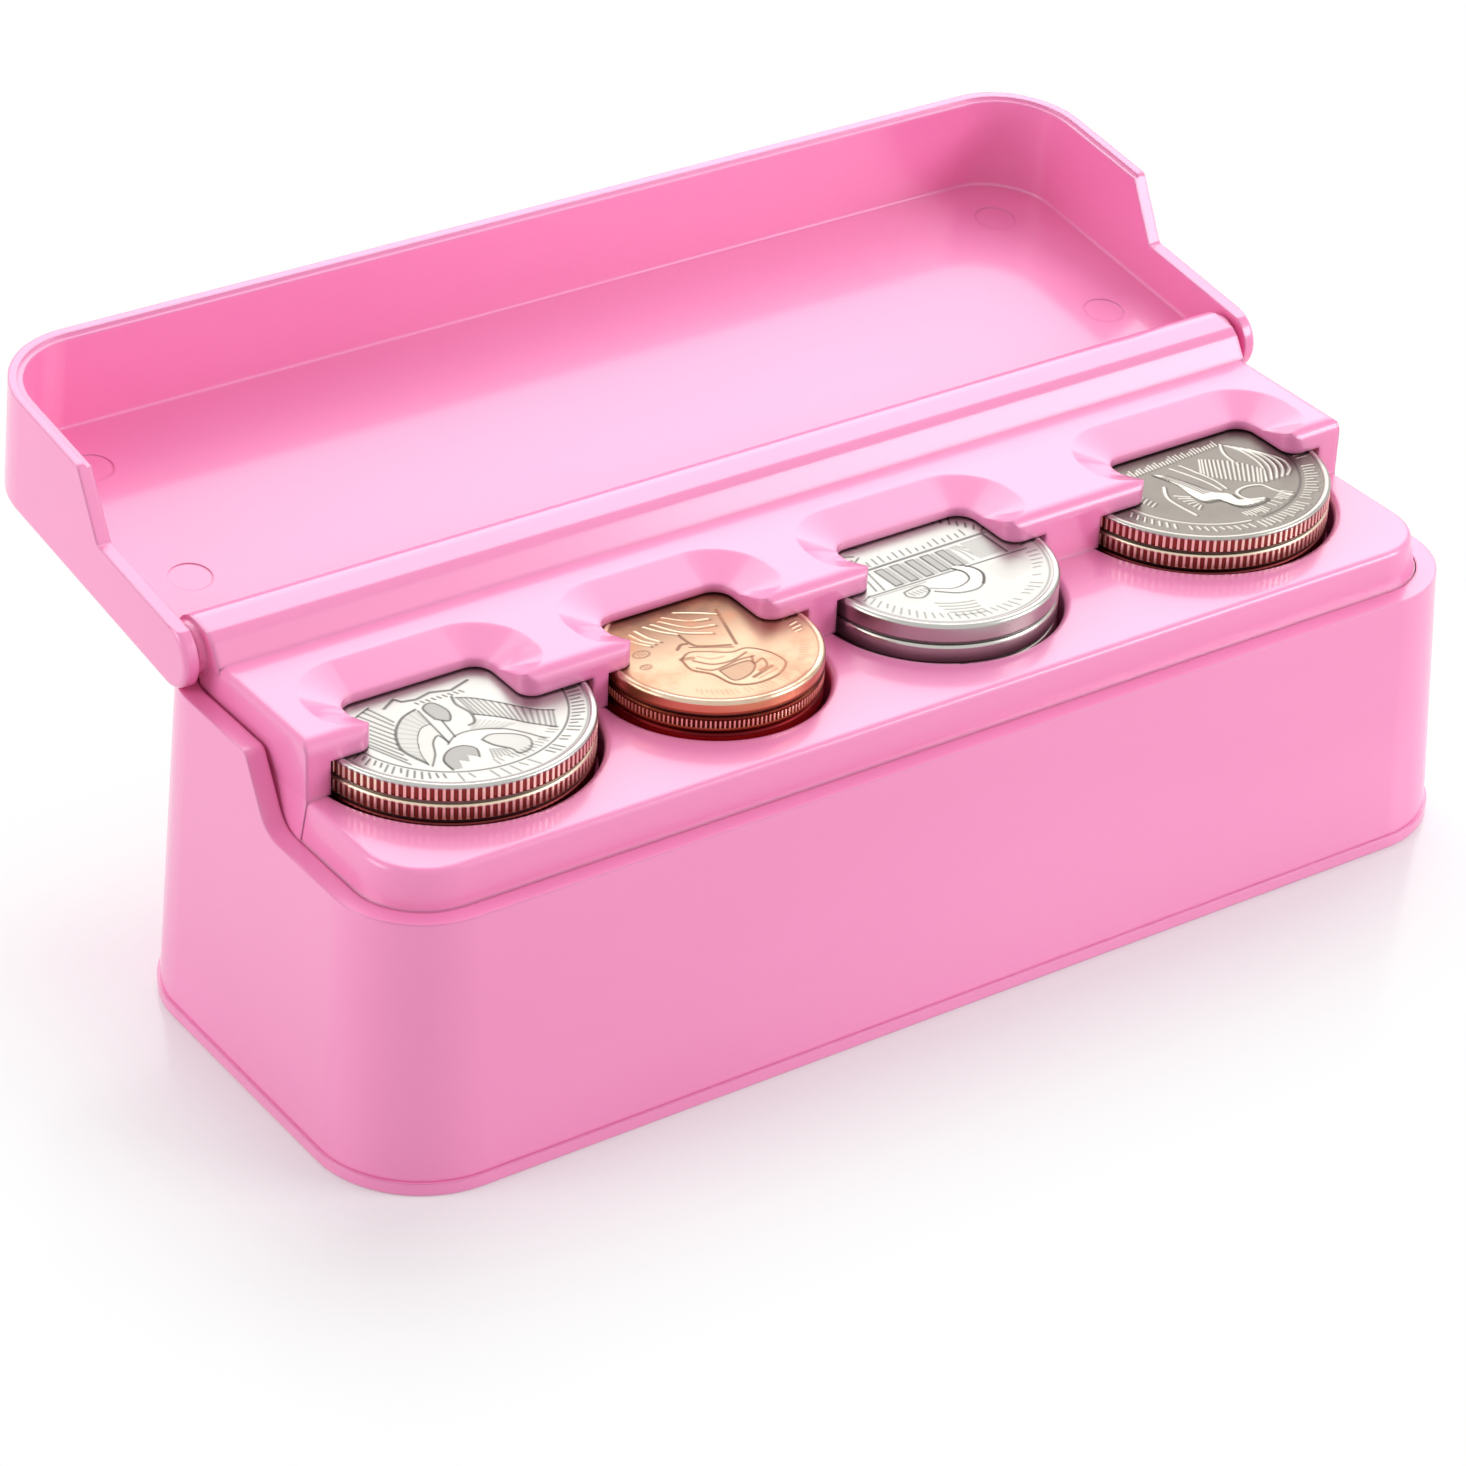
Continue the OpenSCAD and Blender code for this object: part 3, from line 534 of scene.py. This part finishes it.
def wings_picture(die):
    """A wing of long feathers over a bent branch, all raised from a dull field."""
    for k in range(5):
        die.ridge(bend((5.2 + 0.42 * k, 2.9 - 0.5 * k), (6.1 + 0.55 * k, 0.9 - 0.7 * k),
                       (6.0 + 0.5 * k, -2.0 - 0.4 * k), (4.5 + 0.6 * k, -4.6)), 0.12, 0.9)
    die.ridge(bend((5.2, 2.9), (4.4, 1.2), (4.2, -1.0)), 0.16)
    fan_top = bend((1.7, 1.7), (3.0, 0.8), (4.6, -0.7), (5.6, -2.6))
    fan_foot = bend((0.1, -0.6), (1.2, -2.0), (2.7, -3.4), (4.1, -4.6))
    die.hatch(fan_top, fan_foot, 15, die.ridge, width=0.05, lift=0.5)
    for k in range(2):
        die.ridge(bend((-1.6 + 1.1 * k, 1.6), (-0.8 + 0.9 * k, -0.4), (-0.3 + 0.8 * k, -2.2),
                       (-0.1 + 0.6 * k, -3.8)), 0.14)
    body = bend((-3.7, 1.6), (-2.9, -0.8), (-3.0, -3.2), (-2.7, -4.6), (-1.4, -5.0), (-0.5, -6.9),
                (1.6, -7.2), (2.4, -6.8), (0.3, -6.0), (0.1, -4.7), (-1.0, -3.6), (-1.7, -1.6),
                (-2.7, 0.6), (-3.7, 1.6))
    # Painted shadow under the body, then the body filled with a painted highlight.
    die.line([(a + 0.1, b - 0.34) for a, b in body], 0.24, 0.7)
    die.patch(body, 1.0, 0.9)
    for k in range(3):
        die.line(bend((-3.2 + 0.3 * k, 0.7), (-2.4 + 0.3 * k, -1.6), (-1.9 + 0.3 * k, -3.6)), 0.08, 0.55)
    die.ridge(bend((-4.2, -0.8), (-5.2, -2.8), (-4.9, -6.2)), 0.18)
    die.hatch([(-4.4, -2.2), (-4.0, -5.8)], [(-3.3, -3.2), (-3.4, -5.2)], 6, die.ridge, width=0.08, lift=0.5)
    neck = bend((2.3, -6.9), (0.9, -6.3), (0.8, -4.9), (2.1, -4.4), (3.6, -4.9), (4.1, -6.3), (4.9, -7.8))
    die.ridge(neck, 0.16)
    for k in range(4):
        die.ridge([(-7.7 + 0.12 * k, -1.7 - 0.46 * k), (-7.0 + 0.12 * k, -1.32 - 0.46 * k)], 0.06)
    dice = random.Random(9)
    for k in range(34):
        foot = (-7.4 + 0.37 * k, 1.9 + 0.03 * k)
        die.ridge([foot, (foot[0] + 0.1, foot[1] + dice.uniform(0.4, 1.1))], 0.08)
    die.ridge(ring(9.5, 196, 262), 0.12)
    die.line(ring(9.4, 270, 372), 0.12, 0.6)
    die.marks(8.0, 9.0, 262, 306, 20, die.ridge, 12, width=0.06)
    die.marks(10.0, 10.7, 196, 262, 17, die.ridge, 13, width=0.07)
    die.marks(9.9, 11.0, 264, 372, 38, die.ridge, 14, width=0.07)
    die.marks(9.95, 11.0, 20, 190, 56, die.ridge, 15, width=0.10)


rim_width, rim_drop, rim_slope = 0.62, 0.12, 0.10
rim_round, foot_round, round_middle = 0.30, 0.34, 0.3
rim_rows_in_edge_metal = 2
steps_a_reed, steps_a_ridge = 6, 3
plain_edge_steps = 110
groove_depth, ridge_depth = 0.12, 0.004
row_gap = 0.02
fine_row, coarse_row = 0.1, 1.6
picture_height = 0.075
to_mm = 1000
quarter_reeds = 119


def strike_coin(name, node, body, metals, picture=None, reeds=0, reeded=0.97, rim_tone_with_painted_shade=1.0):
    """Builds one coin in millimetres round its own middle and puts it where its node lies."""
    low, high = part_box(node)
    centre = (low + high) / 2
    radius = (high.x - low.x) / 2 * to_mm
    thick = (high.z - low.z) * to_mm
    around = (reeds or plain_edge_steps) * steps_a_reed
    field = radius - rim_width
    rings = int(field / (fine_row if picture else coarse_row))
    skirt_z = foot_round + (1 - reeded) * (thick - rim_round - foot_round)
    profile = [(field * (k + 1) / rings, thick - rim_drop, "face") for k in range(rings)]
    profile += [
        (field + rim_slope, thick, "rim"),
        (radius - rim_round, thick, "rim"),
        (radius - rim_round * round_middle, thick - rim_round * round_middle, "rim"),
        (radius, thick - rim_round, "rim"),
        (radius, thick - rim_round - row_gap, "edge"),
        (radius, skirt_z + row_gap, "edge"),
        (radius, skirt_z, "skirt"),
        (radius, foot_round, "skirt"),
        (radius - foot_round * round_middle, foot_round * round_middle, "under"),
        (radius - foot_round, 0, "under"),
        (field + rim_slope, 0, "under"),
        (field, rim_drop, "under"),
        (field * 0.5, rim_drop, "under"),
    ]
    # The skirt below the reeds and the underside take darker tones than the face: painted shade toward the
    # foot.
    part_tone_with_painted_shade = {"face": 0.5, "rim": rim_tone_with_painted_shade, "edge": 0.6, "skirt": 0.3, "under": 0.2, "under_middle": 0.3}
    angles = np.arange(around) * 2 * np.pi / around
    in_groove = np.arange(around) % steps_a_reed >= steps_a_ridge
    verts, tones = [(0, 0, thick - rim_drop)], [part_tone_with_painted_shade["face"]]
    for r, z, part in profile:
        tone = np.full(around, part_tone_with_painted_shade[part])
        out = np.full(around, r)
        # Reeds: the grooves take the darkest tone, painted shade, and the ridges the brightest, a painted
        # highlight.
        if reeds and part == "edge":
            out = np.where(in_groove, r - groove_depth, r - ridge_depth)
            tone = np.where(in_groove, 0.0, 1.0)
        verts += zip(out * np.cos(angles), out * np.sin(angles), np.full(around, z))
        tones += list(tone)
    verts.append((0, 0, rim_drop))
    tones.append(part_tone_with_painted_shade["under_middle"])
    verts, tones = np.array(verts), np.array(tones)
    if picture:
        face = slice(0, 1 + around * (rings - 1))
        die = Die(verts[face, 0], verts[face, 1])
        picture(die)
        verts[face, 2] += picture_height * np.clip(die.high, -1, 1)
        tones[face] = die.tone
    last = len(verts) - 1
    faces = [(0, 1 + k, 1 + (k + 1) % around) for k in range(around)]
    for row in range(len(profile) - 1):
        a, b = 1 + row * around, 1 + (row + 1) * around
        faces += [(a + k, b + k, b + (k + 1) % around, a + (k + 1) % around) for k in range(around)]
    faces += [(last - around + k, last, last - around + (k + 1) % around) for k in range(around)]
    mesh = bpy.data.meshes.new(name)
    foot = Vector((centre.x, centre.y, low.z))
    mesh.from_pydata([Vector((x, y, z)) / to_mm + foot for x, y, z in verts], [], faces)
    mesh.attributes.new("tone", "FLOAT", "POINT").data.foreach_set("value", tones.astype(np.float32))
    for metal in metals:
        mesh.materials.append(metal)
    parts = [part for r, z, part in profile]
    edge_row, under_row = parts.index("edge"), parts.index("under")
    edge_metal_row = edge_row if picture else edge_row - rim_rows_in_edge_metal
    slots = np.zeros(len(mesh.polygons), dtype=np.int32)
    slots[around * edge_metal_row:around * under_row] = 1
    mesh.polygons.foreach_set("material_index", slots)
    smooth = np.ones(len(mesh.polygons), dtype=bool)
    smooth[around * edge_row:around * under_row] = not reeds
    mesh.polygons.foreach_set("use_smooth", smooth)
    coin = bpy.data.objects.new(name, mesh)
    bpy.context.scene.collection.objects.link(coin)
    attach(coin, body)
    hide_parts(node)


def struck_metal(name, dark, plain, bright, rough, tarnish, stain=None):
    """Metal whose tone follows the die: dark in its lines, plain on the field, bright where a highlight is
    painted on raised strokes, rims and reed ridges.
    """
    wire, finish = new_material(name)
    tone = wire.node("Attribute", {"attribute_name": "tone"}, out="Fac")
    place = wire.place()
    cloud = wire.noise(230, 4, 0.6, place)
    brushed = wire.noise(5200, 2, 0.5, place)
    struck = wire.node("ValToRGB", {"stops": ((0, dark), (0.5, plain), (1, bright))}, {"Fac": tone})
    fine = wire.node("Bump", {}, {"Height": brushed, "Distance": 0.000003, "Strength": 0.5})
    stain = stain or tuple(part * 0.72 for part in plain)
    return finish(wire.node("BsdfPrincipled", {}, {
        "Base Color": wire.mix(cloud.between(0.45, 0.75) * tarnish, struck, (*stain, 1)),
        "Metallic": 1.0,
        "Roughness": rough + cloud * 0.10 + (1 - tone) * 0.12,
        "Normal": fine,
    }))


bright_silver = struck_metal(
    "coin_silver_bright", dark=(0.03, 0.029, 0.028), plain=(0.40, 0.392, 0.365), bright=(0.50, 0.49, 0.46),
    rough=0.24, tarnish=0.15)
grey_silver = struck_metal(
    "coin_silver_grey", dark=(0.03, 0.026, 0.024), plain=(0.165, 0.148, 0.128), bright=(0.44, 0.42, 0.38),
    rough=0.26, tarnish=0.25)
clad_edge = struck_metal(
    "coin_clad_edge", dark=(0.28, 0.055, 0.042), plain=(0.30, 0.12, 0.10), bright=(0.95, 0.84, 0.63),
    rough=0.26, tarnish=0.15)
# Painted shade: a dark, deep red copy of the clad edge for the lowest coin in the tube.
edge_metal_in_painted_shade = struck_metal(
    "coin_edge_in_painted_shade", dark=(0.07, 0.006, 0.010), plain=(0.12, 0.014, 0.018), bright=(0.20, 0.04, 0.04),
    rough=0.30, tarnish=0.25)

for station, metal, top_picture in (
    ("quarter_left", bright_silver, fans_picture),
    ("quarter_right", grey_silver, wings_picture),
):
    # The coins under the top one take a lower rim tone: painted shade between stacked coins.
    for number, edge_metal, picture, rim_tone_with_painted_shade in (
        (1, clad_edge, top_picture, 1.0),
        (2, clad_edge, None, 0.85),
        (3, edge_metal_in_painted_shade, None, 0.85),
    ):
        node = "%s_%d" % (station, number)
        strike_coin("coin_" + node, node, "follower_" + station, (metal, edge_metal),
                    picture, quarter_reeds, rim_tone_with_painted_shade=rim_tone_with_painted_shade)


# ---- Middle coins ---------------------------------------------------------
# Solid cupronickel with a plain edge, struck with a row of bars between lines.

def bars_picture(die):
    """A row of shaded bars under a long line, and a ribbon that curls below them."""
    for k in range(5):
        left = -5.4 + 1.62 * k
        bar = [(left, 1.8), (left + 0.85, 1.8), (left + 0.95, -1.2), (left + 0.1, -1.2)]
        die.patch(bar, 0.34)
        die.hatch([bar[0], bar[3]], [bar[1], bar[2]], 12, die.line, ink=0.18)
        die.line(bar + bar[:1], 0.06)
        # Painted shadow beside the bar, fading away from it.
        die.line([(left + 1.12, 1.7), (left + 1.22, -1.2)], ink=0.5)
        die.line([(left + 1.32, 1.7), (left + 1.42, -1.2)], ink=0.35)
    for k in range(3):
        die.line(bend((2.7 + 0.3 * k, 1.8), (3.1 + 0.45 * k, 0.7), (3.2 + 0.75 * k, -1.0)), ink=0.5)
    die.patch([(3.8, 1.9), (6.6, 1.9), (6.6, -1.1), (3.8, -1.1)], 0.36)
    die.line([(-5.8, 2.25), (6.9, 2.45)], 0.20)
    die.line([(6.6, 2.2), (6.6, -1.2)], 0.18)
    die.line([(-8.4, -1.5), (8.4, -1.6)])
    die.line([(-8.2, -1.8), (-2.6, -1.9)], ink=0.4)
    dice = random.Random(17)
    for k in range(15):
        foot = (-5.2 + 0.74 * k, 2.65 + 0.02 * k)
        top = (foot[0] + 0.1, foot[1] + dice.uniform(0.4, 1.1))
        die.line([foot, top], ink=0.7)
    die.line([(-6.9, 3.2), (-5.2, 4.4)])
    die.line([(-5.9, 2.8), (-6.5, -1.2)])
    die.line([(-6.5, 2.9), (-7.2, -1.0)])
    ribbon = bend((1.2, -0.9), (2.3, -1.9), (2.4, -3.4), (0.9, -5.0), (-1.2, -4.9), (-2.9, -3.6))
    inner = bend((0.6, -1.1), (1.2, -2.2), (0.9, -3.4), (-0.4, -4.0), (-1.6, -3.9), (-2.9, -3.0))
    die.patch(ribbon + inner[::-1], 0.62, 0.6)
    die.line(ribbon, 0.06)
    die.line(ribbon[4:17], 0.20)
    die.line(inner)
    die.patch(bend((3.0, -2.2), (6.8, -2.4), (6.9, -4.4), (3.6, -5.4), (3.0, -2.2)), 0.47, 0.1)
    die.line(bend((-5.3, -2.4), (-3.4, -2.2), (-3.2, -3.2), (-4.4, -3.9), (-5.4, -3.2), (-5.3, -2.4)))
    for k in range(5):
        die.line([(-5.0 + 0.4 * k, -2.7), (-4.8 + 0.4 * k, -3.3)], ink=0.5)
    for k in range(5):
        die.line(ring(6.6 + 0.5 * k, 232 + 3 * k, 262), ink=0.5)
    die.marks(7.3, 8.4, 20, 160, 24, die.line, 21)
    die.marks(8.3, 9.3, 170, 370, 44, die.line, 22, ink=0.5)
    die.line(ring(9.7), ink=0.5)


plain_edge = struck_metal(
    "coin_plain_edge", dark=(0.12, 0.11, 0.105), plain=(0.40, 0.385, 0.36), bright=(0.56, 0.54, 0.50),
    rough=0.20, tarnish=0.25)
for number, picture in ((1, bars_picture), (2, None), (3, None)):
    node = "nickel_%d" % number
    strike_coin("coin_" + node, node, "follower_nickel", (bright_silver, plain_edge), picture)


# ---- Small coins ----------------------------------------------------------
# Copper-plated, darker in the recesses, with sprays of leaves on the face. The
# second one down has a finely reeded edge. The coins under the top one take a
# darker, deep red copy of the copper: painted shade for coins deep in the tube.

def leaves_picture(die):
    """Sprays of long strokes over a leaf with a curled middle, on a field with the lip's dark reflection
    painted in toward the back.
    """
    # Painted reflection: the field darkens toward the back, where the lip hangs over.
    die.tone -= 0.38 * np.clip((die.y + 0.5) / 5.5, 0, 1)
    for start, middle, end in (
        ((0.1, 5.9), (1.6, 5.0), (3.1, 3.9)), ((-1.2, 5.7), (0.3, 4.2), (2.0, 3.6)),
        ((-1.8, 5.3), (-0.2, 3.2), (1.9, 2.5)), ((-2.6, 5.2), (-1.2, 2.9), (1.0, 1.5)),
        ((-3.4, 5.2), (-2.6, 3.8), (-1.7, 2.8)), ((-4.4, 5.0), (-4.1, 3.6), (-3.6, 2.6)),
        ((-5.1, 4.7), (-4.8, 3.4), (-4.2, 2.5)), ((-5.8, 4.3), (-5.3, 3.2), (-4.7, 2.4)),
    ):
        # A painted shadow beside each stroke, shifted right and forward.
        die.line([(a + 0.2, b - 0.3) for a, b in bend(start, middle, end)], 0.10, 0.6)
        die.ridge(bend(start, middle, end), 0.14, 0.8)
    die.line([(3.5, 4.5), (1.8, -1.0)], 0.20)
    die.line(bend((-1.6, 2.4), (-1.5, 1.0), (-1.0, 0.2), (1.3, -0.9)), 0.18)
    die.line(bend((-3.0, 0.7), (-2.3, 1.2), (-1.8, 1.1)), 0.2)
    die.line([(-1.9, 0.5), (1.3, -1.3)])
    leaf = bend((-3.6, -0.8), (-2.4, -0.2), (-1.1, -0.8), (0.6, -1.9), (2.1, -2.0), (3.2, -3.1),
                (3.7, -4.6), (3.5, -5.8), (1.9, -6.9), (-0.4, -7.1), (-2.1, -6.2), (-2.7, -4.1),
                (-3.8, -2.6), (-3.6, -0.8))
    die.patch(leaf, 0.56, 0.5)
    die.line(leaf, 0.14)
    die.line([(-3.6, -0.8), (-2.7, -1.1)], 0.4, 0.6)
    die.line(bend((-2.9, -1.5), (-1.8, -2.8), (-0.1, -3.1), (1.7, -2.6)), 0.14)
    die.line(bend((-3.3, -2.6), (-2.2, -3.6), (0.4, -3.3), (1.9, -3.4)), 0.14)
    die.line(bend((-2.2, -1.1), (-1.4, -2.0), (-0.3, -2.2)), ink=0.5)
    heart = bend((-1.9, -3.9), (0.1, -3.7), (1.2, -3.9), (1.1, -4.8), (-0.1, -5.7), (-1.7, -5.8),
                 (-1.9, -3.9))
    die.patch(heart, 0.34, -0.3)
    die.line(heart)
    die.line(bend((1.7, -3.4), (1.3, -4.4), (2.3, -4.1), (2.0, -5.2), (1.0, -5.6)), 0.14)
    die.line([(0.0, -6.2), (2.3, -5.5)], 0.26)
    die.line([(0.2, -6.6), (2.4, -6.1)], ink=0.5)
    for middle_x, middle_y, size in ((-6.0, 1.6, 0.75), (-6.8, -0.3, 0.5)):
        die.line([(middle_x + a, middle_y + 0.7 * b) for a, b in ring(size)], 0.08, 0.6)
        for across in (-0.4, 0, 0.4):
            stroke_x = middle_x + across * size
            die.line([(stroke_x, middle_y - 0.35 * size), (stroke_x, middle_y + 0.35 * size)], 0.06, 0.4)
    die.line(ring(8.75, 180, 300), ink=0.5)
    die.marks(7.4, 8.1, 225, 330, 34, die.line, 41, ink=0.25)
    die.marks(7.5, 8.2, -20, 40, 14, die.ridge, 42, width=0.08)


copper_face = struck_metal(
    "coin_copper_face", dark=(0.10, 0.03, 0.016), plain=(0.46, 0.31, 0.205), bright=(0.66, 0.50, 0.37),
    rough=0.24, tarnish=0.8, stain=(0.38, 0.165, 0.09))
copper_edge = struck_metal(
    "coin_copper_edge", dark=(0.11, 0.014, 0.010), plain=(0.60, 0.21, 0.085), bright=(0.95, 0.66, 0.48),
    rough=0.22, tarnish=0.30)
# Painted shade: a darker, deep red copy of the copper for the coins under the top one.
copper_in_painted_shade = struck_metal(
    "coin_copper_in_painted_shade", dark=(0.12, 0.008, 0.010), plain=(0.66, 0.045, 0.050), bright=(0.80, 0.13, 0.12),
    rough=0.24, tarnish=0.30)
fine_reeds = 150
penny_reeded = 0.80
# The coins under the top one take the darkest rim tone: painted shade between stacked coins.
for number, face_metal, edge_metal, picture, reeds, rim_tone_with_painted_shade in (
    (1, copper_face, copper_edge, leaves_picture, 0, 1.0),
    (2, copper_in_painted_shade, copper_edge, None, fine_reeds, 0.0),
    (3, copper_in_painted_shade, copper_in_painted_shade, None, 0, 0.0),
    (4, copper_in_painted_shade, copper_in_painted_shade, None, 0, 0.0),
):
    node = "penny_%d" % number
    strike_coin("coin_" + node, node, "follower_penny", (face_metal, edge_metal),
                picture, reeds, penny_reeded, rim_tone_with_painted_shade)
